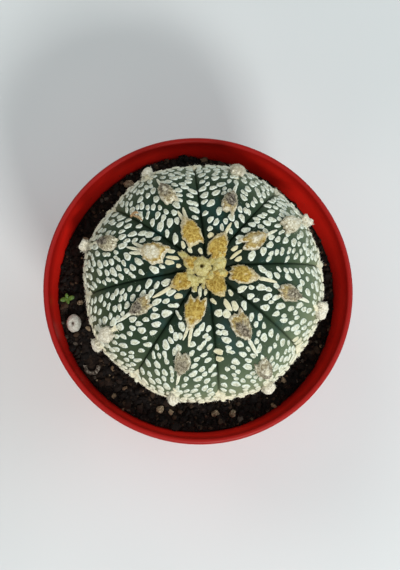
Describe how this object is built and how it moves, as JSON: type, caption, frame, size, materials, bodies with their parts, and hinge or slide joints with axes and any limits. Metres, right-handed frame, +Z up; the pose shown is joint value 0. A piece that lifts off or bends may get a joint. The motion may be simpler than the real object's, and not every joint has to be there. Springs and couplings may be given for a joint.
{
  "type": "potted star cactus",
  "caption": "Flat ribbed star cactus with dense white felt flecks and woolly areoles, in gritty dark soil in a round red plastic pot.",
  "frame": {"origin": "middle of the pot's foot, on the surface that the pot stands on", "axes": "+Z up along the pot's axis, +X to the right and +Y to the top of the picture's view from above"},
  "size_m": [0.078, 0.078, 0.091],
  "materials": {
    "red_plastic": "satin moulded polypropylene, saturated red, slightly glossy rim",
    "potting_mix": "dark brown gritty potting mix, matte and slightly damp, with tan and grey grains",
    "cactus_skin": "waxy blue-green skin with off-white felt flecks, beige and golden felt areoles",
    "perlite": "chalky white expanded mineral",
    "bark": "dry grey-brown bark",
    "green_leaf": "fresh bright green leaf",
    "tan_grit": "matte tan gravel grain"
  },
  "bodies": {
    "root": {"pot": "red_plastic", "soil": "potting_mix", "cactus": "cactus_skin", "perlite_bead": "perlite", "bark_curl": "bark", "seedling": "green_leaf", "pebble_1": "tan_grit", "pebble_2": "tan_grit", "pebble_3": "tan_grit", "pebble_4": "tan_grit", "pebble_5": "tan_grit"}
  },
  "joints": []
}
